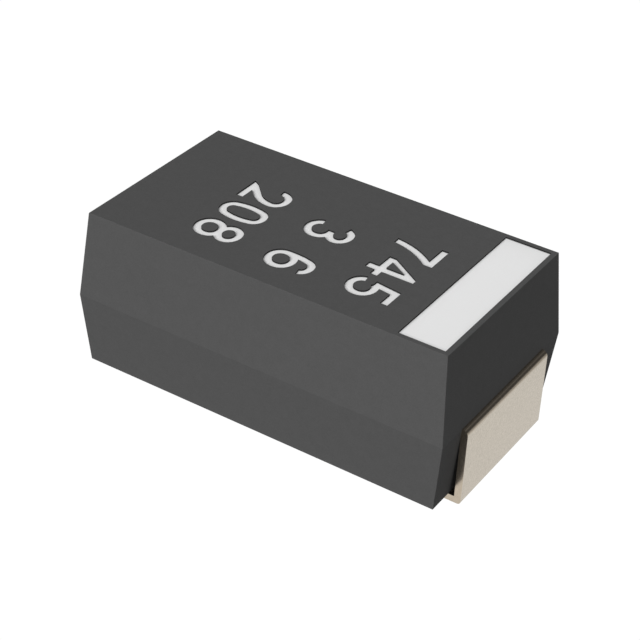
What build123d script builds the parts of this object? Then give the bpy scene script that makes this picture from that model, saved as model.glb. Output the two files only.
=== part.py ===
from build123d import *
import math
import os

# A moulded surface-mount aluminium polymer capacitor, case 6032-28 (6.0 x 3.2 x 2.5 mm).
# Millimetres, +Z up. The origin is the centre of the footprint, on the board.
# +X points to the anode end, which carries the polarity bar.

# Moulded case, measured at the parting plane where the two halves of the mould meet
case_length = 5.80
case_width = 3.20
upper_depth = 1.30
draft_angle = 5.0

# Lead frames: two blanks of one tinned copper sheet, each folded down and under the case
lead_sheet = 0.10
lead_width = 2.20
lead_overhang = 0.09
parting_height = 1.20
foot_length = 1.30
upper_bend_radius = 0.09
lower_bend_radius = 0.05
anode_tab_depth = 1.15
paddle_setback = 0.10

# Glue pad, moulded on the underside between the feet
glue_pad_length = 2.80
glue_pad_width = 2.40
glue_pad_height = 0.05

# Polarity bar, printed in a shallow pocket of the top
bar_length = 0.68
bar_margin = 0.075
ink_recess = 0.025
ink_thickness = 0.020

# Capacitor elements, stacked on both faces of the cathode paddle
upper_elements = 4
lower_elements = 3
end_wall = 0.40
side_wall = 0.35
foil_thickness = 0.10
coat_thickness = 0.045
glue_thickness = 0.030
mask_thickness = 0.030
mask_length = 0.35
bare_tab_length = 1.10
weld_length = 0.65

# Heights
case_bottom_z = lead_sheet
case_top_z = parting_height + upper_depth
paddle_bottom_z = parting_height - lead_sheet

# Stations along the length, from the anode wall inwards
half_length = case_length / 2
lead_face_x = half_length + lead_overhang
foil_end_x = half_length - end_wall
weld_start_x = foil_end_x - weld_length
mask_end_x = foil_end_x - bare_tab_length
mask_start_x = mask_end_x - mask_length
coat_start_x = -foil_end_x
paddle_end_x = mask_start_x - paddle_setback

# One element: a foil, coated on its cathode side, and the silver glue that it sits in
element_width = case_width - 2 * side_wall
foil_width = element_width - 2 * coat_thickness
element_thickness = foil_thickness + 2 * coat_thickness
element_pitch = element_thickness + glue_thickness

# Each foil folds down to the weld a little before the one under it does, and so clears its fold
tab_fold_stagger = foil_thickness / 2


def block(x_from, x_to, width, z_from, z_to):
    """A rectangular block between two stations and two heights, centred across the width."""
    size = (x_to - x_from, width, z_to - z_from)
    return Pos((x_from + x_to) / 2, 0, z_from) * Box(*size, align=(Align.CENTER, Align.CENTER, Align.MIN))


def strip_face(route, thickness):
    """The side view of a sheet: its right-hand face follows the route in XZ, with mitred folds."""
    points = [Vector(x, z) for x, z in route]
    headings = [(end - start).normalized() for start, end in zip(points, points[1:])]
    lefts = [Vector(-heading.Y, heading.X) for heading in headings]
    other_side = [points[0] + lefts[0] * thickness]
    for point, before, after in zip(points[1:-1], lefts, lefts[1:]):
        other_side.append(point + (before + after) * (thickness / (1 + before.dot(after))))
    other_side.append(points[-1] + lefts[-1] * thickness)
    return make_face(Polyline(*points, *reversed(other_side), close=True))


def folded_strip(side_view, width):
    """A sheet of the given side view, stretched to its width on both sides of the middle."""
    return extrude(Plane.XZ * side_view, amount=width / 2, both=True)


def lead_frame(inner_end_x):
    """The anode lead frame: a flat tab in the parting plane, a leg down the end wall, and a foot."""
    lower_fold = (lead_face_x, 0)
    upper_fold = (lead_face_x, parting_height)
    route = [(lead_face_x - foot_length, 0), lower_fold, upper_fold, (inner_end_x, parting_height)]
    side_view = strip_face(route, lead_sheet)
    for fold, radius in ((lower_fold, lower_bend_radius), (upper_fold, upper_bend_radius)):
        corner = side_view.vertices().sort_by_distance(fold)[0]
        side_view = fillet(corner, radius)
    return folded_strip(side_view, lead_width)


def cathode_lead_frame():
    """The same fold at the other end, with a long paddle that carries the elements."""
    return mirror(lead_frame(-paddle_end_x), about=Plane.YZ)


def coat_outline(level):
    """The block that the coated part of one element fills, above the paddle's face."""
    bottom = level * element_pitch + glue_thickness
    return block(coat_start_x, mask_start_x, element_width, bottom, bottom + element_thickness)


def foil(level):
    """One anode foil: flat under its coat, then bent down to the weld on the lead frame."""
    coated_z = level * element_pitch + glue_thickness + coat_thickness
    weld_z = level * foil_thickness
    route = [
        (coat_start_x + coat_thickness, coated_z),
        (mask_end_x, coated_z),
        (weld_start_x + level * tab_fold_stagger, weld_z),
        (foil_end_x, weld_z),
    ]
    return folded_strip(strip_face(route, foil_thickness), foil_width)


def cathode_coat_sleeve(level):
    """Polymer, carbon and silver: one coat over the faces, the sides and the end of a foil."""
    return coat_outline(level) - foil(level)


def mask_band(level):
    """The insulating band round a foil, which keeps the cathode coat off the bare tab."""
    foil_z = level * element_pitch + glue_thickness + coat_thickness
    band = block(
        mask_start_x,
        mask_end_x,
        foil_width + 2 * mask_thickness,
        foil_z - mask_thickness,
        foil_z + foil_thickness + mask_thickness,
    )
    return band - foil(level)


def glue_layer(level):
    """The conductive silver glue under one element."""
    bottom = level * element_pitch
    return block(coat_start_x, paddle_end_x, lead_width, bottom, bottom + glue_thickness)


def on_upper_face(piece):
    """Lifts a piece built above Z = 0 onto the top of the lead frames."""
    return Pos(0, 0, parting_height) * piece


def on_lower_face(piece):
    """Turns a piece built above Z = 0 over, onto the underside of the lead frames."""
    return Pos(0, 0, paddle_bottom_z) * mirror(piece, about=Plane.XY)


def elements():
    """Every piece of the two stacks, by name. Level 0 lies on the paddle."""
    makers = {
        "anode_foil": foil,
        "cathode_coat": cathode_coat_sleeve,
        "mask_band": mask_band,
        "silver_glue": glue_layer,
    }
    stacks = (("upper", upper_elements, on_upper_face), ("lower", lower_elements, on_lower_face))
    pieces = {}
    for stack, count, place in stacks:
        for level in range(count):
            for name, make in makers.items():
                pieces[f"{name}_{stack}_{level + 1}"] = place(make(level))
    return pieces


def case_form():
    """The outer form of the moulding: two halves that taper away from the parting plane."""
    outline = Rectangle(case_length, case_width)
    upper = extrude(Pos(0, 0, parting_height) * outline, amount=upper_depth, taper=draft_angle)
    lower_depth = parting_height - case_bottom_z
    lower = extrude(
        Pos(0, 0, parting_height) * outline, amount=lower_depth, dir=(0, 0, -1), taper=draft_angle
    )
    glue_pad = extrude(
        Pos(0, 0, case_bottom_z) * Rectangle(glue_pad_length, glue_pad_width),
        amount=glue_pad_height,
        dir=(0, 0, -1),
        taper=draft_angle,
    )
    return upper + lower + glue_pad


def bar_outline():
    """The bar runs across the top, at one margin from its end and both its sides."""
    top_inset = upper_depth * math.tan(math.radians(draft_angle))
    bar_end_x = half_length - top_inset - bar_margin
    bar_width = case_width - 2 * (top_inset + bar_margin)
    return Pos(bar_end_x - bar_length / 2, 0) * Rectangle(bar_length, bar_width)


def polarity_bar():
    """White ink on the floor of the pocket."""
    floor_z = case_top_z - ink_recess - ink_thickness
    return extrude(Pos(0, 0, floor_z) * bar_outline(), amount=ink_thickness)


def moulded_case(inner_pieces):
    """The resin body: cast round the lead frames and elements, and marked with the bar's pocket."""
    pocket = extrude(Pos(0, 0, case_top_z) * bar_outline(), amount=-(ink_recess + ink_thickness))
    return case_form() - pocket - inner_pieces


pieces = elements()
pieces["anode_lead_frame"] = lead_frame(half_length - anode_tab_depth)
pieces["cathode_lead_frame"] = cathode_lead_frame()
pieces["moulded_case"] = moulded_case(list(pieces.values()))
pieces["polarity_bar"] = polarity_bar()

os.makedirs("parts", exist_ok=True)
for name, piece in pieces.items():
    piece.label = name
    export_step(piece, f"parts/{name}.step")
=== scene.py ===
import math

import bmesh
import bpy
from bpy.props import FloatProperty, FloatVectorProperty, PointerProperty, StringProperty
from mathutils import Matrix, Vector


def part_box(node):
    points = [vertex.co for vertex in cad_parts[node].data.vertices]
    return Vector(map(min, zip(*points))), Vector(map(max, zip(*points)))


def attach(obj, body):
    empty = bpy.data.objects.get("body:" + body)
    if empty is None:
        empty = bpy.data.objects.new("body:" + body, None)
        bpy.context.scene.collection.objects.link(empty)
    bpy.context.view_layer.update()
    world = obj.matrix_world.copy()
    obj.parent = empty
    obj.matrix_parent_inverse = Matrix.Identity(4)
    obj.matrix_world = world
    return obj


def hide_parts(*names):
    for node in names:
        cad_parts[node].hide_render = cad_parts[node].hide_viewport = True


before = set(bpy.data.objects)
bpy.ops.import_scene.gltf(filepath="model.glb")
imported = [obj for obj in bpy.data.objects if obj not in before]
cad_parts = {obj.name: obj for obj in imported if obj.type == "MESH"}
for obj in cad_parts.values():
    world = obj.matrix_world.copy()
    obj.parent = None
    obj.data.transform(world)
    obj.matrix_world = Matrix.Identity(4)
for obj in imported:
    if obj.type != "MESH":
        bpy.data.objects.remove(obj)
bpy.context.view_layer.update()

bl_info = {
    "name": "Moulded Chip Capacitor",
    "version": (1, 0, 0),
    "blender": (4, 5, 0),
    "location": "View3D > Sidebar > Capacitor",
    "description": "Moulded resin case, printed marks, tinned leads and a white stage for the capacitor",
    "category": "Object",
}

# The new meshes are made in millimetres and brought down to metres at the end
MM = 0.001

CASE = "moulded_case"
BAR = "polarity_bar"
ANODE_LEAD = "anode_lead_frame"
CATHODE_LEAD = "cathode_lead_frame"


def millimetres(point):
    """A point of the frame, which is in metres, in millimetres."""
    return Vector(point) / MM


_, case_high = map(millimetres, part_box(CASE))
bar_low, bar_high = map(millimetres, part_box(BAR))
_, lead_high = map(millimetres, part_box(ANODE_LEAD))

TOP_Z = case_high.z
PARTING_Z = lead_high.z
INK_RECESS = TOP_Z - bar_high.z


# Sizes and colours


class CaseSettings(bpy.types.PropertyGroup):
    """The moulded body."""

    edge_radius: FloatProperty(
        name="Edge radius",
        description="Rounding of the mould's outer edges",
        subtype="DISTANCE",
        unit="LENGTH",
        default=0.007 * MM,
        min=0.0,
        max=0.05 * MM,
        precision=6,
    )
    resin: FloatVectorProperty(
        name="Resin",
        description="Colour of the moulding compound",
        subtype="COLOR",
        default=(0.078, 0.078, 0.078),
        min=0.0,
        max=1.0,
    )
    # The pocket walls' darker colour is painted shade, for the shade that falls in the pockets of the marks
    pocket_wall_shade: FloatVectorProperty(
        name="Pocket wall",
        description="Colour of the walls of the pockets that hold the ink",
        subtype="COLOR",
        default=(0.025, 0.025, 0.025),
        min=0.0,
        max=1.0,
    )
    roughness: FloatProperty(
        name="Roughness",
        description="Roughness of the moulded surface",
        subtype="FACTOR",
        default=0.62,
        min=0.0,
        max=1.0,
    )


class MarkSettings(bpy.types.PropertyGroup):
    """The figures printed on the top, and the ink of the figures and the bar."""

    first_row: StringProperty(name="First row", description="Figures next to the bar", default="745")
    second_row: StringProperty(name="Second row", description="Figures in the middle", default="36")
    third_row: StringProperty(name="Third row", description="Figures at the far end", default="208")
    height: FloatProperty(
        name="Figure height",
        description="Height of a figure",
        subtype="DISTANCE",
        unit="LENGTH",
        default=0.727 * MM,
        min=0.2 * MM,
        max=1.5 * MM,
        precision=6,
    )
    width: FloatProperty(
        name="Figure width",
        description="Width of a figure",
        subtype="DISTANCE",
        unit="LENGTH",
        default=0.469 * MM,
        min=0.1 * MM,
        max=1.0 * MM,
        precision=6,
    )
    ink: FloatVectorProperty(
        name="Ink",
        description="Colour of the printed marks",
        subtype="COLOR",
        default=(0.80, 0.80, 0.80),
        min=0.0,
        max=1.0,
    )


class LeadSettings(bpy.types.PropertyGroup):
    """The tinned lead frames."""

    tin: FloatVectorProperty(
        name="Tin plate",
        description="Colour of the matte tin plate",
        subtype="COLOR",
        default=(0.62, 0.555, 0.460),
        min=0.0,
        max=1.0,
    )
    base_metal: FloatVectorProperty(
        name="Base metal",
        description="Colour of the copper alloy on the cut sides and where the upper fold has worn the plate",
        subtype="COLOR",
        default=(0.62, 0.535, 0.425),
        min=0.0,
        max=1.0,
    )
    roughness: FloatProperty(
        name="Roughness",
        description="Roughness of the plated surface",
        subtype="FACTOR",
        default=0.18,
        min=0.0,
        max=1.0,
    )


class StackSettings(bpy.types.PropertyGroup):
    """The capacitor elements inside the case."""

    foil: FloatVectorProperty(
        name="Foil", description="Colour of the etched foil", subtype="COLOR", default=(0.72, 0.73, 0.75)
    )
    coat: FloatVectorProperty(
        name="Coat", description="Colour of the silver coat", subtype="COLOR", default=(0.30, 0.30, 0.31)
    )
    mask: FloatVectorProperty(
        name="Mask", description="Colour of the insulating band", subtype="COLOR", default=(0.20, 0.35, 0.55)
    )
    glue: FloatVectorProperty(
        name="Glue", description="Colour of the silver glue", subtype="COLOR", default=(0.55, 0.55, 0.56)
    )


class StageSettings(bpy.types.PropertyGroup):
    """Floor, light and camera."""

    floor_size: FloatProperty(
        name="Floor size",
        description="Side of the square floor",
        subtype="DISTANCE",
        unit="LENGTH",
        default=0.6,
    )
    key_strength: FloatProperty(
        name="Key light", description="Strength of the soft light in front", default=3.068, min=0.0
    )
    side_strength: FloatProperty(
        name="Side light", description="Strength of the soft light at the anode end", default=0.55, min=0.0
    )
    fill_strength: FloatProperty(
        name="Fill light", description="Strength of the low light behind", default=1.1, min=0.0
    )
    sky: FloatProperty(
        name="Sky", description="Strength of the even light from above the horizon", default=0.38, min=0.0
    )
    ground: FloatProperty(
        name="Ground", description="Strength of the even light from below the horizon", default=0.13, min=0.0
    )
    focal_length: FloatProperty(
        name="Focal length", description="Camera lens, in millimetres", default=100.27, min=10.0
    )
    azimuth: FloatProperty(
        name="Azimuth",
        description="Turn of the camera from the front towards the anode end",
        subtype="ANGLE",
        unit="ROTATION",
        default=math.radians(31.4937),
    )
    elevation: FloatProperty(
        name="Elevation",
        description="Height of the camera above the horizon",
        subtype="ANGLE",
        unit="ROTATION",
        default=math.radians(34.0817),
    )
    roll: FloatProperty(
        name="Roll",
        description="Turn of the camera about its own axis",
        subtype="ANGLE",
        unit="ROTATION",
        default=math.radians(3.0569),
    )
    distance: FloatProperty(
        name="Distance",
        description="From the camera to the object, along its view",
        subtype="DISTANCE",
        unit="LENGTH",
        default=0.0252176,
        precision=5,
    )


class CapacitorSettings(bpy.types.PropertyGroup):
    """All the settings, by piece."""

    case: PointerProperty(type=CaseSettings)
    marks: PointerProperty(type=MarkSettings)
    leads: PointerProperty(type=LeadSettings)
    stack: PointerProperty(type=StackSettings)
    stage: PointerProperty(type=StageSettings)


# Shader building


def new_material(name):
    """An empty node material with its Principled shader and output, laid out left to right."""
    material = bpy.data.materials.new(name)
    material.use_nodes = True
    nodes = material.node_tree.nodes
    nodes.clear()
    output = nodes.new("ShaderNodeOutputMaterial")
    output.location = (600, 0)
    shader = nodes.new("ShaderNodeBsdfPrincipled")
    shader.location = (300, 0)
    material.node_tree.links.new(shader.outputs["BSDF"], output.inputs["Surface"])
    return material, shader


def new_group(name, inputs, outputs):
    """A shader node group with inputs given as (name, kind, default) and outputs as (name, kind)."""
    group = bpy.data.node_groups.new(name, "ShaderNodeTree")
    for socket_name, kind, default in inputs:
        socket = group.interface.new_socket(socket_name, in_out="INPUT", socket_type=kind)
        socket.default_value = default
    for socket_name, kind in outputs:
        group.interface.new_socket(socket_name, in_out="OUTPUT", socket_type=kind)
    return group, group.nodes.new("NodeGroupInput"), group.nodes.new("NodeGroupOutput")


def add_noise(tree, vector, scale, detail, roughness):
    """A noise texture on a vector, whose scale is a socket."""
    noise = tree.nodes.new("ShaderNodeTexNoise")
    noise.inputs["Detail"].default_value = detail
    noise.inputs["Roughness"].default_value = roughness
    tree.links.new(vector, noise.inputs["Vector"])
    tree.links.new(scale, noise.inputs["Scale"])
    return noise.outputs["Fac"]


def add_math(tree, operation, first, second):
    """A Math node on two values, each a socket or a number."""
    node = tree.nodes.new("ShaderNodeMath")
    node.operation = operation
    for socket, value in zip(node.inputs, (first, second)):
        if isinstance(value, (int, float)):
            socket.default_value = value
        else:
            tree.links.new(value, socket)
    return node.outputs["Value"]


def in_millimetres(tree):
    """The Object coordinates of a surface, in millimetres."""
    place = tree.nodes.new("ShaderNodeTexCoord")
    mapping = tree.nodes.new("ShaderNodeMapping")
    mapping.inputs["Scale"].default_value = (1 / MM,) * 3
    tree.links.new(place.outputs["Object"], mapping.inputs["Vector"])
    return mapping.outputs["Vector"]


def add_ramp(tree, value, start, end, low=0, high=1):
    """A smooth change from a low value to a high one, as a socket's value goes from a start to an end."""
    ramp = tree.nodes.new("ShaderNodeMapRange")
    ramp.interpolation_type = "SMOOTHSTEP"
    for socket, number in zip(("From Min", "From Max", "To Min", "To Max"), (start, end, low, high)):
        ramp.inputs[socket].default_value = number
    tree.links.new(value, ramp.inputs["Value"])
    return ramp.outputs["Result"]


# Depth that a relief of full strength has, in millimetres, and the coarse grain's share of the mottle
RELIEF_DEPTH = 0.004
COARSE_SHARE = 0.25


def surface_grain_group():
    """Grain of a moulded, plated or etched surface.

    The colour is mottled, and the roughness and the relief follow the same two grains, a fine one and
    a coarse one. Both are set in features per millimetre, on the piece's own Object coordinates.
    """
    name = "surface_grain"
    if name in bpy.data.node_groups:
        return bpy.data.node_groups[name]
    inputs = (
        ("Colour", "NodeSocketColor", (0.5, 0.5, 0.5, 1.0)),
        ("Roughness", "NodeSocketFloat", 0.5),
        ("Fine grain", "NodeSocketFloat", 30.0),
        ("Coarse grain", "NodeSocketFloat", 3.0),
        ("Mottle", "NodeSocketFloat", 0.05),
        ("Gloss spread", "NodeSocketFloat", 0.1),
        ("Relief", "NodeSocketFloat", 0.2),
    )
    outputs = (
        ("Colour", "NodeSocketColor"),
        ("Roughness", "NodeSocketFloat"),
        ("Normal", "NodeSocketVector"),
    )
    group, given, made = new_group(name, inputs, outputs)

    vector = in_millimetres(group)
    fine = add_noise(group, vector, given.outputs["Fine grain"], detail=4.0, roughness=0.65)
    coarse = add_noise(group, vector, given.outputs["Coarse grain"], detail=2.0, roughness=0.5)

    fine_part = add_math(group, "MULTIPLY", fine, 1 - COARSE_SHARE)
    coarse_part = add_math(group, "MULTIPLY", coarse, COARSE_SHARE)
    centred = add_math(group, "SUBTRACT", add_math(group, "ADD", fine_part, coarse_part), 0.5)

    shade = add_math(group, "ADD", 1.0, add_math(group, "MULTIPLY", centred, given.outputs["Mottle"]))
    tint = group.nodes.new("ShaderNodeVectorMath")
    tint.operation = "SCALE"
    group.links.new(given.outputs["Colour"], tint.inputs[0])
    group.links.new(shade, tint.inputs["Scale"])
    group.links.new(tint.outputs["Vector"], made.inputs["Colour"])

    gloss = add_math(group, "MULTIPLY", centred, given.outputs["Gloss spread"])
    group.links.new(add_math(group, "ADD", given.outputs["Roughness"], gloss), made.inputs["Roughness"])

    bump = group.nodes.new("ShaderNodeBump")
    bump.inputs["Distance"].default_value = RELIEF_DEPTH * MM
    group.links.new(given.outputs["Relief"], bump.inputs["Strength"])
    group.links.new(fine, bump.inputs["Height"])
    group.links.new(bump.outputs["Normal"], made.inputs["Normal"])
    return group


def grained_material(name, colour, roughness, fine, coarse, mottle, gloss_spread, relief):
    """A material with the shared grain in its colour, roughness and relief. The rest is set by its caller."""
    material, shader = new_material(name)
    tree = material.node_tree
    grain = tree.nodes.new("ShaderNodeGroup")
    grain.name = "grain"
    grain.node_tree = surface_grain_group()
    grain.inputs["Colour"].default_value = (*colour, 1.0)
    values = {
        "Roughness": roughness,
        "Fine grain": fine,
        "Coarse grain": coarse,
        "Mottle": mottle,
        "Gloss spread": gloss_spread,
        "Relief": relief,
    }
    for socket, value in values.items():
        grain.inputs[socket].default_value = value
    tree.links.new(grain.outputs["Colour"], shader.inputs["Base Color"])
    tree.links.new(grain.outputs["Roughness"], shader.inputs["Roughness"])
    tree.links.new(grain.outputs["Normal"], shader.inputs["Normal"])
    return material, shader


def resin_material(name, colour, roughness):
    """Epoxy moulding compound, with the fine matte of the mould and hardly any sheen."""
    material, shader = grained_material(
        name, colour, roughness,
        fine=45.0, coarse=8.0, mottle=0.45, gloss_spread=0.25, relief=0.22,
    )
    shader.inputs["Specular IOR Level"].default_value = 0.01
    return material


def ink_material(settings):
    """White print: flat and a little chalky."""
    material, shader = grained_material(
        "white_ink", settings.ink, roughness=0.7,
        fine=34.0, coarse=4.0, mottle=0.05, gloss_spread=0.1, relief=0.15,
    )
    shader.inputs["Specular IOR Level"].default_value = 0.2
    return material


# Where the plate of the lead frames gives way to the base metal, in millimetres: in from their cut sides,
# and down from the top of their upper fold
CUT_EDGE = (0.004, 0.001)
WORN_FOLD = (0.09, 0.045)


def tin_material(settings):
    """Matte tin on copper alloy, which shows on the sheared sides and through the plate of the upper fold."""
    material, shader = grained_material(
        "matte_tin", settings.tin, settings.roughness,
        fine=70.0, coarse=25.0, mottle=1.0, gloss_spread=0.15, relief=0.05,
    )
    shader.inputs["Metallic"].default_value = 1.0
    tree = material.node_tree
    parts = tree.nodes.new("ShaderNodeSeparateXYZ")
    tree.links.new(in_millimetres(tree), parts.inputs["Vector"])
    across = add_math(tree, "ABSOLUTE", parts.outputs["Y"], 0)
    cut = add_ramp(tree, across, *(lead_high.y - inset for inset in CUT_EDGE))
    fold = add_ramp(tree, parts.outputs["Z"], *(lead_high.z - depth for depth in WORN_FOLD))
    bare = tree.nodes.new("ShaderNodeMix")
    bare.data_type = "RGBA"
    bare.inputs["A"].default_value = (*settings.tin, 1.0)
    bare.inputs["B"].default_value = (*settings.base_metal, 1.0)
    tree.links.new(add_math(tree, "MAXIMUM", cut, fold), bare.inputs["Factor"])
    tree.links.new(bare.outputs["Result"], tree.nodes["grain"].inputs["Colour"])
    return material


def foil_material(settings):
    """Etched aluminium foil, grey from its deep pores."""
    material, shader = grained_material(
        "etched_foil", settings.foil, roughness=0.55,
        fine=60.0, coarse=6.0, mottle=0.2, gloss_spread=0.2, relief=0.35,
    )
    shader.inputs["Metallic"].default_value = 0.9
    return material


def coat_material(settings):
    """Silver-bearing coat over carbon and polymer."""
    material, shader = grained_material(
        "silver_coat", settings.coat, roughness=0.6,
        fine=40.0, coarse=3.0, mottle=0.3, gloss_spread=0.3, relief=0.5,
    )
    shader.inputs["Metallic"].default_value = 0.4
    return material


def mask_material(settings):
    """Resin of the insulating bands."""
    material, shader = grained_material(
        "insulating_resin", settings.mask, roughness=0.45,
        fine=20.0, coarse=3.0, mottle=0.15, gloss_spread=0.2, relief=0.3,
    )
    shader.inputs["Specular IOR Level"].default_value = 0.4
    return material


def glue_material(settings):
    """Silver-filled glue."""
    material, shader = grained_material(
        "silver_filled_glue", settings.glue, roughness=0.5,
        fine=50.0, coarse=5.0, mottle=0.3, gloss_spread=0.3, relief=0.5,
    )
    shader.inputs["Metallic"].default_value = 0.6
    return material


def dress(obj, material):
    """Gives a CAD node its material."""
    obj.data.materials.clear()
    obj.data.materials.append(material)


# Mesh building


def evaluated_mesh(obj):
    """The mesh of an object with its modifiers applied."""
    bpy.context.view_layer.update()
    graph = bpy.context.evaluated_depsgraph_get()
    return bpy.data.meshes.new_from_object(obj.evaluated_get(graph))


def temporary_object(mesh, name):
    """An object for the modifiers to work on, which doesn't stay."""
    obj = bpy.data.objects.new(name, mesh)
    bpy.context.scene.collection.objects.link(obj)
    return obj


def mesh_from(sheet):
    """A mesh of a finished bmesh, which it frees."""
    mesh = bpy.data.meshes.new("work")
    sheet.to_mesh(mesh)
    sheet.free()
    return mesh


# How near two places in millimetres count as one, in a solid that was cut and in one straight from the CAD,
# and the angle below which two faces count as one flat
TOUCH = 1e-4
CAD_TOUCH = 1e-5
FLAT = math.radians(0.5)


def merge_flats(sheet):
    """Joins the faces of each flat into as few as it can be made of."""
    bmesh.ops.dissolve_limit(sheet, angle_limit=FLAT, verts=sheet.verts[:], edges=sheet.edges[:])


def combined(first, second, operation):
    """The solid that two meshes in millimetres make, as a new mesh without slivers. The two are used up."""
    target = temporary_object(first, "target")
    tool = temporary_object(second, "tool")
    boolean = target.modifiers.new("combine", "BOOLEAN")
    boolean.operation = operation
    boolean.solver = "EXACT"
    boolean.use_self = True
    boolean.object = tool
    solid = evaluated_mesh(target)
    sheet = bmesh.new()
    sheet.from_mesh(solid)
    for obj in (target, tool):
        bpy.data.objects.remove(obj)
    for mesh in (first, second, solid):
        bpy.data.meshes.remove(mesh)
    bmesh.ops.remove_doubles(sheet, verts=sheet.verts[:], dist=TOUCH)
    bmesh.ops.dissolve_degenerate(sheet, edges=sheet.edges[:], dist=TOUCH)
    merge_flats(sheet)
    return mesh_from(sheet)


def place_piece(name, mesh, slot, *materials):
    """A finished piece: its mesh brought down to metres, with its materials, riding on the one body."""
    mesh.transform(Matrix.Scale(MM, 4))
    mesh.name = name
    piece = bpy.data.objects.new(name, mesh)
    bpy.context.scene.collection.objects.link(piece)
    for material in materials:
        mesh.materials.append(material)
    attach(piece, "root")
    return piece


# The figures are drawn with a flat pen in a box one unit high. The marks' settings give the box its size on
# the case, where level strokes come out a little thinner than upright ones. The 4 has a wider box than the
# others
PEN = 0.148
SEAM = PEN / 100
BOX = 0.58
WIDE_BOX = 0.628

# Places of the pen's middle: at the left, the middle, the foot, the crown and the waist of a figure
LEFT = PEN / 2
MIDDLE = BOX / 2
FOOT = PEN / 2
CROWN = 1 - PEN / 2
WAIST = 0.535
HALF_WIDTH = MIDDLE - LEFT
UPPER_HALF = (CROWN - WAIST) / 2
LOWER_HALF = (WAIST - FOOT) / 2

# Half the height of the bowl of the 5 and the 6
LOW_BOWL = 0.235

# In degrees: how far a side of an oval turns above or below its middle, and the turn in one face of an arc
SIDE_TURN = 15
ARC_STEP = 6


def oval_radii(half_width, half_height):
    """The end and side radii of an oval of arcs, whose sides each turn by twice the side turn."""
    turn = math.radians(SIDE_TURN)
    slope = math.tan(turn / 2)
    rest = 1 - math.sin(turn)
    end = (half_width - slope * half_height) / (math.cos(turn) - slope * rest)
    return end, (half_height - end * rest) / math.sin(turn)


class Pen:
    """A flat pen that draws strokes as faces on the XY plane of a bmesh."""

    def __init__(self, sheet):
        self.sheet = sheet
        self.strokes = []

    def lay_nib(self, left, right):
        """Starts a stroke with the nib from one point to another."""
        ends = [self.sheet.verts.new((*left, 0)), self.sheet.verts.new((*right, 0))]
        self.nib = self.sheet.edges.new(ends)
        self.strokes.append(ends)

    def start(self, point, heading):
        """Starts a stroke at a point, with the nib square to its heading in degrees."""
        self.point = Vector(point).to_3d()
        self.heading = math.radians(heading)
        across = self.sideways() * (PEN / 2)
        self.lay_nib((self.point + across).xy, (self.point - across).xy)

    def sideways(self):
        """The direction to the left of the heading."""
        return Vector((-math.sin(self.heading), math.cos(self.heading), 0))

    def stretch(self):
        """Adds a face of no length, whose far end is then moved."""
        grown = bmesh.ops.extrude_edge_only(self.sheet, edges=[self.nib])["geom"]
        ends = [item for item in grown if isinstance(item, bmesh.types.BMVert)]
        self.nib = self.sheet.edges.get(ends)
        self.strokes[-1] += ends
        return ends

    def ahead(self, length):
        """Goes straight on."""
        step = Vector((math.cos(self.heading), math.sin(self.heading), 0)) * length
        bmesh.ops.translate(self.sheet, verts=self.stretch(), vec=step)
        self.point += step

    def turn(self, radius, degrees):
        """Goes round an arc, to the left for a turn above zero."""
        turn = math.radians(degrees)
        centre = self.point + self.sideways() * math.copysign(radius, turn)
        before = set(self.sheet.verts)
        grown = bmesh.ops.spin(
            self.sheet,
            geom=[*self.nib.verts, self.nib],
            cent=centre,
            axis=(0, 0, 1),
            angle=turn,
            steps=max(1, round(abs(degrees) / ARC_STEP)),
            use_duplicate=False,
        )["geom_last"]
        self.nib = next(item for item in grown if isinstance(item, bmesh.types.BMEdge))
        self.strokes[-1] += [vertex for vertex in self.sheet.verts if vertex not in before]
        self.point = centre + Matrix.Rotation(turn, 3, "Z") @ (self.point - centre)
        self.heading += turn

    def line(self, start, end):
        """A straight stroke between two points."""
        run = Vector(end) - Vector(start)
        self.start(start, math.degrees(math.atan2(run.y, run.x)))
        self.ahead(run.length)

    def wedge(self, low_left, low_right, high_left, high_right):
        """A straight stroke with level ends, each with its own width."""
        self.lay_nib(low_left, low_right)
        middle = (Vector(low_left) + Vector(low_right)) / 2
        for vertex in self.stretch():
            vertex.co.xy = high_left if vertex.co.x < middle.x else high_right

    def oval(self, middle_y, half_width, half_height):
        """A whole oval, from its right-hand side upwards."""
        end, side = oval_radii(half_width, half_height)
        self.start((MIDDLE + half_width, middle_y), 90)
        self.turn(side, SIDE_TURN)
        self.turn(end, 180 - 2 * SIDE_TURN)
        self.turn(side, 2 * SIDE_TURN)
        self.turn(end, 180 - 2 * SIDE_TURN)
        self.turn(side, SIDE_TURN)

    def bowl(self, start, half_width, half_height, hand, tail):
        """An open oval that leaves a point to the right, upwards for hand 1 and downwards for -1."""
        end, side = oval_radii(half_width, half_height)
        self.start(start, 0)
        self.turn(end, hand * (90 - SIDE_TURN))
        self.turn(side, hand * 2 * SIDE_TURN)
        self.turn(end, hand * (180 - 2 * SIDE_TURN))
        self.turn(side, hand * tail)

    def close_up(self):
        """Merges each stroke's doubles, where an oval meets its own start."""
        for stroke in self.strokes:
            bmesh.ops.remove_doubles(self.sheet, verts=list(set(stroke)), dist=SEAM)


def draw_0(pen):
    """A nought: one tall oval."""
    pen.oval(0.5, HALF_WIDTH, (CROWN - FOOT) / 2)


def draw_2(pen):
    """A two: up the diagonal and round the head, and the level foot."""
    pen.start((0.056, -0.05), 66)
    pen.ahead(0.055)
    pen.turn(0.4, -20)
    pen.ahead(0.2722)
    pen.turn(0.5744, 44)
    pen.turn(HALF_WIDTH, 188)
    pen.line((0.1, FOOT), (BOX, FOOT))


def draw_3(pen):
    """A three: an upper and a lower bowl that meet at the waist."""
    pen.bowl((MIDDLE - 0.015, WAIST), HALF_WIDTH * 0.93, UPPER_HALF, 1, 2)
    pen.line((MIDDLE - 0.05, WAIST), (MIDDLE, WAIST))
    pen.bowl((MIDDLE, WAIST), HALF_WIDTH, LOWER_HALF, -1, 4)


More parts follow.
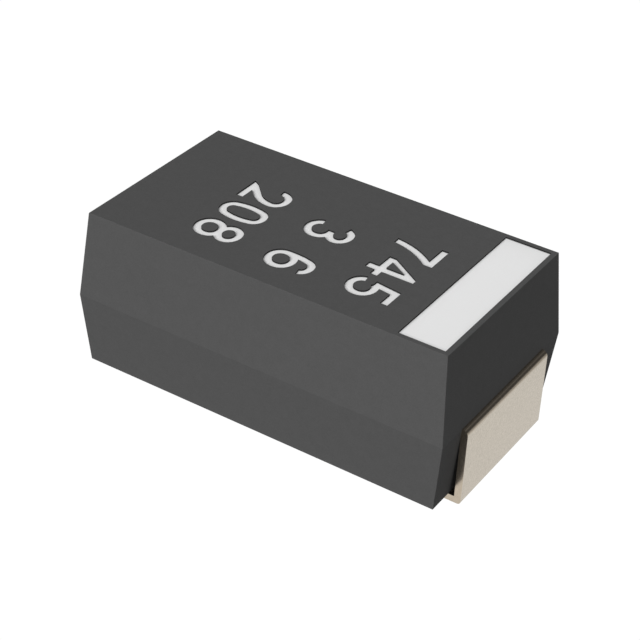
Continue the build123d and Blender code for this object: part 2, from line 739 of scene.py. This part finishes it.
def draw_4(pen):
    """A four: the post and its cut top, the diagonal and the crossbar."""
    pen.wedge((0.332, 0), (0.486, 0), (0.332, 0.92), (0.486, 0.92))
    pen.wedge((0.332, 0.92), (0.486, 0.92), (0.379, 1), (0.486, 1))
    pen.wedge((0, 0.34), (0.127, 0.34), (0.379, 1), (0.486, 1))
    pen.line((0, 0.275), (WIDE_BOX, 0.275))


def draw_5(pen):
    """A five: the top bar, the slanted stem and the bowl with its shoulder."""
    pen.line((0.1, CROWN), (BOX - 0.045, CROWN))
    pen.wedge((0.035, 0.455), (0.185, 0.455), (0.098, 1), (0.252, 1))
    bowl_top = FOOT + 2 * LOW_BOWL
    pen.bowl((MIDDLE - 0.01, bowl_top), HALF_WIDTH, LOW_BOWL, -1, 6)
    pen.start((MIDDLE - 0.005, bowl_top), 180)
    pen.turn(oval_radii(HALF_WIDTH, LOW_BOWL)[0], 50)


def draw_6(pen):
    """A six: the bowl, and the stem that curls over at the top."""
    pen.oval(FOOT + LOW_BOWL, HALF_WIDTH, LOW_BOWL)
    shoulder = 0.45
    end, side = oval_radii(HALF_WIDTH, CROWN - shoulder)
    tip = 12
    reach = math.radians(tip)
    pen.start((MIDDLE + end * math.cos(reach), CROWN - end + end * math.sin(reach)), 90 + tip)
    pen.turn(end, 180 - tip - SIDE_TURN)
    pen.turn(side, SIDE_TURN)
    pen.ahead(shoulder - FOOT - LOW_BOWL)


def draw_7(pen):
    """A seven: the top bar and the bent stem."""
    pen.line((0, CROWN), (BOX, CROWN))
    pen.start((0.187, -0.01), 86)
    pen.turn(1.62, -33)
    pen.ahead(0.09)


def draw_8(pen):
    """An eight: a smaller oval on a larger one."""
    pen.oval(CROWN - UPPER_HALF, HALF_WIDTH * 0.92, UPPER_HALF)
    pen.oval(FOOT + LOWER_HALF, HALF_WIDTH, LOWER_HALF)


FIGURES = {
    "0": draw_0,
    "2": draw_2,
    "3": draw_3,
    "4": draw_4,
    "5": draw_5,
    "6": draw_6,
    "7": draw_7,
    "8": draw_8,
}

# Layout of the figures on the top, in millimetres: from the bar to the first row and from row to row, and
# the first figure's centre and the next one's distance in the outer rows and in the middle row
FIRST_ROW_GAP = 0.414
ROW_PITCH = 1.198
FIRST_COLUMN = 0.362
COLUMN_PITCH = 0.574
MIDDLE_COLUMN = 0.077
MIDDLE_PITCH = 0.942


def figure_places(settings):
    """Each printed figure with its centre, from the bar towards the far end and from back to front."""
    first_x = bar_low.x - FIRST_ROW_GAP - settings.height / MM / 2
    rows = (
        (settings.first_row, FIRST_COLUMN, COLUMN_PITCH),
        (settings.second_row, MIDDLE_COLUMN, MIDDLE_PITCH),
        (settings.third_row, FIRST_COLUMN, COLUMN_PITCH),
    )
    for row, (figures, column, pitch) in enumerate(rows):
        for place, figure in enumerate(figures):
            yield figure, Vector((first_x - row * ROW_PITCH, column - place * pitch, 0))


def add_slab(sheet, width, height, bottom, top):
    """A block from the origin to a width and a height, between two levels."""
    slab = bmesh.ops.create_cube(sheet, size=1)["verts"]
    bmesh.ops.translate(sheet, vec=(0.5, 0.5, 0.5), verts=slab)
    bmesh.ops.scale(sheet, vec=(width, height, top - bottom), verts=slab)
    bmesh.ops.translate(sheet, vec=(0, 0, bottom), verts=slab)
    return slab


def figures_solid(settings, bottom, top):
    """All the printed figures as one solid between two levels, each trimmed square by its own box.

    The strokes stand out of the boxes above and below, and so the boxes alone set the two levels.
    """
    strokes = bmesh.new()
    boxes = bmesh.new()
    to_size = Matrix.Diagonal((settings.width / MM / BOX, settings.height / MM, 1, 1))
    crown_to_bar = Matrix.Rotation(math.radians(-90), 4, "Z")
    for figure, centre in figure_places(settings):
        if figure not in FIGURES:
            raise ValueError(f"no strokes are drawn for the figure {figure!r}")
        width = WIDE_BOX if figure == "4" else BOX
        centred = Matrix.Translation((-width / 2, -0.5, 0))
        place = Matrix.Translation(centre) @ crown_to_bar @ to_size @ centred
        before = set(strokes.verts)
        pen = Pen(strokes)
        FIGURES[figure](pen)
        pen.close_up()
        fresh = [vertex for vertex in strokes.verts if vertex not in before]
        bmesh.ops.transform(strokes, matrix=place, verts=fresh)
        bmesh.ops.transform(boxes, matrix=place, verts=add_slab(boxes, width, 1, bottom, top))

    depth = top - bottom
    bmesh.ops.translate(strokes, verts=strokes.verts[:], vec=(0, 0, bottom - depth))
    grown = bmesh.ops.extrude_face_region(strokes, geom=strokes.faces[:], use_keep_orig=True)["geom"]
    lifted = [item for item in grown if isinstance(item, bmesh.types.BMVert)]
    bmesh.ops.translate(strokes, verts=lifted, vec=(0, 0, 3 * depth))
    bmesh.ops.recalc_face_normals(strokes, faces=strokes.faces[:])
    return combined(mesh_from(boxes), mesh_from(strokes), "INTERSECT")


# How far the walls lean in for each millimetre away from the parting plane: a draft of 5 degrees
SLANT = math.tan(math.radians(5.0))

# The outer edges of the mould: four round the top, four round the bottom, and eight up the corners
OUTER_EDGES = 16

# Faces across one softened edge
EDGE_SEGMENTS = 2

# Least distance in millimetres from a pocket to the edges of the top, and the steepest that the upward part
# of an upright wall's normal is
POCKET_MARGIN = 0.03
UPRIGHT = 0.5


def is_outer_edge(edge):
    """True for an edge of the mould's outer form: round the top, round the bottom, and up the corners."""
    ends = [vertex.co for vertex in edge.verts]
    for end in ends:
        shrink = abs(end.z - PARTING_Z) * SLANT
        outer = (
            abs(abs(end.x) - (case_high.x - shrink)) < TOUCH,
            abs(abs(end.y) - (case_high.y - shrink)) < TOUCH,
        )
        if not all(outer):
            return False
    return abs(ends[0].z - ends[1].z) > TOUCH or abs(ends[0].z - PARTING_Z) > TOUCH


def mark_pocket_walls(mesh):
    """Gives the walls of the marks' pockets the second material, a darker resin that is painted shade."""
    inset = (TOP_Z - PARTING_Z) * SLANT + POCKET_MARGIN
    for face in mesh.polygons:
        middle = face.center
        within_top = abs(middle.x) < case_high.x - inset and abs(middle.y) < case_high.y - inset
        if within_top and middle.z > bar_low.z + TOUCH and abs(face.normal.z) < UPRIGHT:
            face.material_index = 1


def case_mesh(settings, marks):
    """The moulding: its solid with softened outer edges and a pocket under each printed figure."""
    sheet = bmesh.new()
    sheet.from_mesh(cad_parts[CASE].data)
    bmesh.ops.scale(sheet, vec=(1 / MM,) * 3, verts=sheet.verts[:])
    bmesh.ops.remove_doubles(sheet, verts=sheet.verts[:], dist=CAD_TOUCH)
    merge_flats(sheet)
    outer = [edge for edge in sheet.edges if is_outer_edge(edge)]
    if len(outer) != OUTER_EDGES:
        raise RuntimeError(f"the case has {len(outer)} outer edges, not {OUTER_EDGES}")
    bmesh.ops.bevel(
        sheet,
        geom=outer,
        offset=settings.edge_radius / MM,
        offset_type="OFFSET",
        affect="EDGES",
        segments=EDGE_SEGMENTS,
        profile=0.5,
        material=-1,
    )
    pockets = figures_solid(marks, bar_low.z, TOP_Z + INK_RECESS)
    mesh = combined(mesh_from(sheet), pockets, "DIFFERENCE")
    mark_pocket_walls(mesh)
    return mesh


# Operators


class CAPACITOR_OT_case(bpy.types.Operator):
    """Make the moulded resin case"""

    bl_idname = "capacitor.case"
    bl_label = "Moulded Case"

    def execute(self, context):
        marks = context.scene.capacitor.marks
        settings = context.scene.capacitor.case
        resin = resin_material("moulded_resin", settings.resin, settings.roughness)
        # The second, darker resin is painted shade on the walls of the marks' pockets
        painted_pocket_shade = resin_material("painted_pocket_shade_resin", settings.pocket_wall_shade, settings.roughness)
        piece = place_piece("resin_case", case_mesh(settings, marks), "case_resin", resin, painted_pocket_shade)
        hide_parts(CASE)
        return {"FINISHED"}


class CAPACITOR_OT_marks(bpy.types.Operator):
    """Print the bar and the figures on the top"""

    bl_idname = "capacitor.marks"
    bl_label = "Printed Marks"

    def execute(self, context):
        settings = context.scene.capacitor.marks
        ink = ink_material(settings)
        mesh = figures_solid(settings, bar_low.z, bar_high.z)
        place_piece("printed_figures", mesh, "bar_ink", ink)
        dress(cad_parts[BAR], ink)
        return {"FINISHED"}


class CAPACITOR_OT_leads(bpy.types.Operator):
    """Finish the two tinned lead frames"""

    bl_idname = "capacitor.leads"
    bl_label = "Lead Frames"

    def execute(self, context):
        tin = tin_material(context.scene.capacitor.leads)
        for name in (ANODE_LEAD, CATHODE_LEAD):
            dress(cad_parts[name], tin)
        return {"FINISHED"}


class CAPACITOR_OT_stack(bpy.types.Operator):
    """Finish the foils, coats, masks and glue inside the case"""

    bl_idname = "capacitor.stack"
    bl_label = "Element Stack"

    def execute(self, context):
        settings = context.scene.capacitor.stack
        finishes = {
            "anode_foil": foil_material(settings),
            "cathode_coat": coat_material(settings),
            "mask_band": mask_material(settings),
            "silver_glue": glue_material(settings),
        }
        for name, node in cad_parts.items():
            for piece, material in finishes.items():
                if name.startswith(piece):
                    dress(node, material)
        return {"FINISHED"}


class CAPACITOR_OT_stage(bpy.types.Operator):
    """Set the white floor, the soft light and the camera"""

    bl_idname = "capacitor.stage"
    bl_label = "Stage"

    def execute(self, context):
        settings = context.scene.capacitor.stage
        make_floor(settings)
        make_world(settings)
        make_light("key", KEY_DIRECTION, WIDE_SPREAD, settings.key_strength, mirrored=True)
        make_light("side", SIDE_DIRECTION, WIDE_SPREAD, settings.side_strength, mirrored=False)
        make_light("fill", FILL_DIRECTION, NARROW_SPREAD, settings.fill_strength, mirrored=False)
        make_camera(settings)
        context.scene.view_settings.view_transform = "Standard"
        return {"FINISHED"}


# Brightness of the white surroundings, where 1 is white. What the metal mirrors is brightest on the floor
# round the part. It fades to the horizon between two distances in millimetres, and from there up to a
# height that is given as the upward part of a direction one unit long
FLOOR_IN_VIEW = 1.02
FLOOR_IN_REFLECTIONS = 0.80
HORIZON_IN_REFLECTIONS = 0.40
SKY_IN_REFLECTIONS = 0.067
POOL_START = 3.5
POOL_END = 9.0
SKY_HEIGHT = 0.18

# A dim lamp high behind the part, which shows only in what the metal mirrors: its direction, how much it adds
# to the sky, and the angles from its middle between which it fades
LAMP_DIRECTION = Vector((0.341, 0.706, 0.620)).normalized()
LAMP_IN_REFLECTIONS = 0.085
LAMP_CORE = math.radians(2)
LAMP_RIM = math.radians(9)

# Upward part of the directions between which the even light on matte faces changes from the ground's to the
# sky's, below and above the horizon
HORIZON_BLUR = 0.2

# How far the floor lies below the feet, in millimetres, so that the two never share a plane
FLOOR_DROP = 0.002


def white_floor_material():
    """An even white to the camera. What the metal mirrors of it fades away from the part.

    It shows on the upper side alone, so that the part can be looked at from below.
    """
    material = bpy.data.materials.new("white_floor")
    material.use_nodes = True
    tree = material.node_tree
    tree.nodes.clear()
    path = tree.nodes.new("ShaderNodeLightPath")
    place = tree.nodes.new("ShaderNodeTexCoord")
    distance = tree.nodes.new("ShaderNodeVectorMath")
    distance.operation = "LENGTH"
    tree.links.new(place.outputs["Object"], distance.inputs[0])
    seen = tree.nodes.new("ShaderNodeMix")
    seen.inputs["B"].default_value = FLOOR_IN_VIEW
    mirrored = add_ramp(
        tree, distance.outputs["Value"], POOL_START * MM, POOL_END * MM,
        low=FLOOR_IN_REFLECTIONS, high=HORIZON_IN_REFLECTIONS,
    )
    tree.links.new(mirrored, seen.inputs["A"])
    tree.links.new(path.outputs["Is Camera Ray"], seen.inputs["Factor"])
    glow = tree.nodes.new("ShaderNodeEmission")
    tree.links.new(seen.outputs["Result"], glow.inputs["Strength"])
    side = tree.nodes.new("ShaderNodeNewGeometry")
    clear = tree.nodes.new("ShaderNodeBsdfTransparent")
    one_sided = tree.nodes.new("ShaderNodeMixShader")
    tree.links.new(side.outputs["Backfacing"], one_sided.inputs["Fac"])
    tree.links.new(glow.outputs["Emission"], one_sided.inputs[1])
    tree.links.new(clear.outputs["BSDF"], one_sided.inputs[2])
    output = tree.nodes.new("ShaderNodeOutputMaterial")
    tree.links.new(one_sided.outputs["Shader"], output.inputs["Surface"])
    return material


def make_floor(settings):
    """A white sheet that glows, as an overexposed studio floor does. It casts no light on matte faces."""
    sheet = bmesh.new()
    grid = bmesh.ops.create_grid(sheet, x_segments=1, y_segments=1, size=settings.floor_size / 2)
    bmesh.ops.translate(sheet, verts=grid["verts"], vec=(0, 0, -FLOOR_DROP * MM))
    mesh = mesh_from(sheet)
    floor = bpy.data.objects.new("floor", mesh)
    bpy.context.scene.collection.objects.link(floor)
    mesh.materials.append(white_floor_material())
    floor.visible_diffuse = False


def make_world(settings):
    """The surroundings: white to the camera, and dim overhead but for a lamp in what the metal mirrors.

    Matte faces get an even light from the sky and a weaker one from the ground.
    """
    world = bpy.data.worlds.new("studio")
    world.use_nodes = True
    tree = world.node_tree
    background = tree.nodes["Background"]
    background.inputs["Color"].default_value = (1, 1, 1, 1)
    path = tree.nodes.new("ShaderNodeLightPath")
    direction = tree.nodes.new("ShaderNodeTexCoord")
    parts = tree.nodes.new("ShaderNodeSeparateXYZ")
    tree.links.new(direction.outputs["Generated"], parts.inputs["Vector"])
    height = parts.outputs["Z"]
    even = add_ramp(tree, height, -HORIZON_BLUR, HORIZON_BLUR, low=settings.ground, high=settings.sky)
    sky = add_ramp(tree, height, 0, SKY_HEIGHT, low=HORIZON_IN_REFLECTIONS, high=SKY_IN_REFLECTIONS)
    closeness = tree.nodes.new("ShaderNodeVectorMath")
    closeness.operation = "DOT_PRODUCT"
    closeness.inputs[1].default_value = LAMP_DIRECTION
    tree.links.new(direction.outputs["Generated"], closeness.inputs[0])
    lamp = add_ramp(
        tree, closeness.outputs["Value"], math.cos(LAMP_RIM), math.cos(LAMP_CORE),
        high=LAMP_IN_REFLECTIONS,
    )
    mirrored = add_math(tree, "ADD", sky, lamp)
    cast = tree.nodes.new("ShaderNodeMix")
    tree.links.new(even, cast.inputs["A"])
    tree.links.new(mirrored, cast.inputs["B"])
    tree.links.new(path.outputs["Is Glossy Ray"], cast.inputs["Factor"])
    seen = tree.nodes.new("ShaderNodeMix")
    seen.inputs["B"].default_value = FLOOR_IN_VIEW
    tree.links.new(cast.outputs["Result"], seen.inputs["A"])
    tree.links.new(path.outputs["Is Camera Ray"], seen.inputs["Factor"])
    tree.links.new(seen.outputs["Result"], background.inputs["Strength"])
    bpy.context.scene.world = world


# Directions from the object to its lights. The key light is in front and above, the side light is low at the
# anode end, and the fill light is low behind. Then how wide a light looks
KEY_DIRECTION = Vector((-0.0522, -0.8419, 0.537))
SIDE_DIRECTION = Vector((0.93, -0.33, 0.15))
FILL_DIRECTION = Vector((-0.15, 0.985, 0.08))
WIDE_SPREAD = math.radians(35)
NARROW_SPREAD = math.radians(10)

# How far the lights' own objects stand from the footprint, in millimetres. Their light is the same from any
# distance
LIGHT_DISTANCE = 25.0


def make_light(name, direction, spread, strength, mirrored):
    """A soft light that shines on the object from one direction, whether or not the metal mirrors it."""
    data = bpy.data.lights.new(name, "SUN")
    data.energy = strength
    data.angle = spread
    light = bpy.data.objects.new(name, data)
    light.rotation_mode = "QUATERNION"
    light.rotation_quaternion = direction.to_track_quat("Z", "Y")
    light.location = direction * LIGHT_DISTANCE * MM
    light.visible_glossy = mirrored
    bpy.context.scene.collection.objects.link(light)


# The place that the camera looks at, to the right of the footprint's centre and above it in the picture, in
# millimetres
VIEW_RIGHT = 0.07901
VIEW_UP = 0.89870

# Width of the camera's sensor in millimetres, and how many times nearer and farther than the object it sees
SENSOR_WIDTH = 36
CLIP_RATIO = 100


def make_camera(settings):
    """The photograph's camera: high in front of the anode end, a little rolled."""
    turn, height, roll = settings.azimuth, settings.elevation, settings.roll
    back = Vector((math.sin(turn) * math.cos(height), -math.cos(turn) * math.cos(height), math.sin(height)))
    level = Vector((math.cos(turn), math.sin(turn), 0))
    upward = back.cross(level)
    right = level * math.cos(roll) + upward * math.sin(roll)
    up = upward * math.cos(roll) - level * math.sin(roll)
    data = bpy.data.cameras.new("camera")
    data.lens = settings.focal_length
    data.sensor_width = SENSOR_WIDTH
    data.clip_start = settings.distance / CLIP_RATIO
    data.clip_end = settings.distance * CLIP_RATIO
    camera = bpy.data.objects.new("camera", data)
    camera.location = (right * VIEW_RIGHT + up * VIEW_UP) * MM + back * settings.distance
    camera.rotation_mode = "QUATERNION"
    camera.rotation_quaternion = Matrix((right, up, back)).transposed().to_quaternion()
    bpy.context.scene.collection.objects.link(camera)
    bpy.context.scene.camera = camera


class CAPACITOR_PT_panel(bpy.types.Panel):
    """One box for each piece and for the stage: its button and its settings"""

    bl_idname = "CAPACITOR_PT_panel"
    bl_label = "Chip Capacitor"
    bl_space_type = "VIEW_3D"
    bl_region_type = "UI"
    bl_category = "Capacitor"

    def draw(self, context):
        settings = context.scene.capacitor
        for operator, group in PIECES:
            box = self.layout.box()
            box.operator(operator.bl_idname)
            values = getattr(settings, group)
            for name in values.__annotations__:
                box.prop(values, name)


PIECES = (
    (CAPACITOR_OT_case, "case"),
    (CAPACITOR_OT_marks, "marks"),
    (CAPACITOR_OT_leads, "leads"),
    (CAPACITOR_OT_stack, "stack"),
    (CAPACITOR_OT_stage, "stage"),
)
SETTINGS = (CaseSettings, MarkSettings, LeadSettings, StackSettings, StageSettings, CapacitorSettings)
CLASSES = (*SETTINGS, *(operator for operator, _ in PIECES), CAPACITOR_PT_panel)


def register():
    """Registers the classes and the settings."""
    for cls in CLASSES:
        bpy.utils.register_class(cls)
    bpy.types.Scene.capacitor = PointerProperty(type=CapacitorSettings)


def unregister():
    """Takes the settings and the classes away again."""
    del bpy.types.Scene.capacitor
    for cls in reversed(CLASSES):
        bpy.utils.unregister_class(cls)


def main():
    """Makes every piece and the stage."""
    register()
    bpy.ops.capacitor.case()
    bpy.ops.capacitor.marks()
    bpy.ops.capacitor.leads()
    bpy.ops.capacitor.stack()
    bpy.ops.capacitor.stage()


if __name__ == "__main__":
    main()
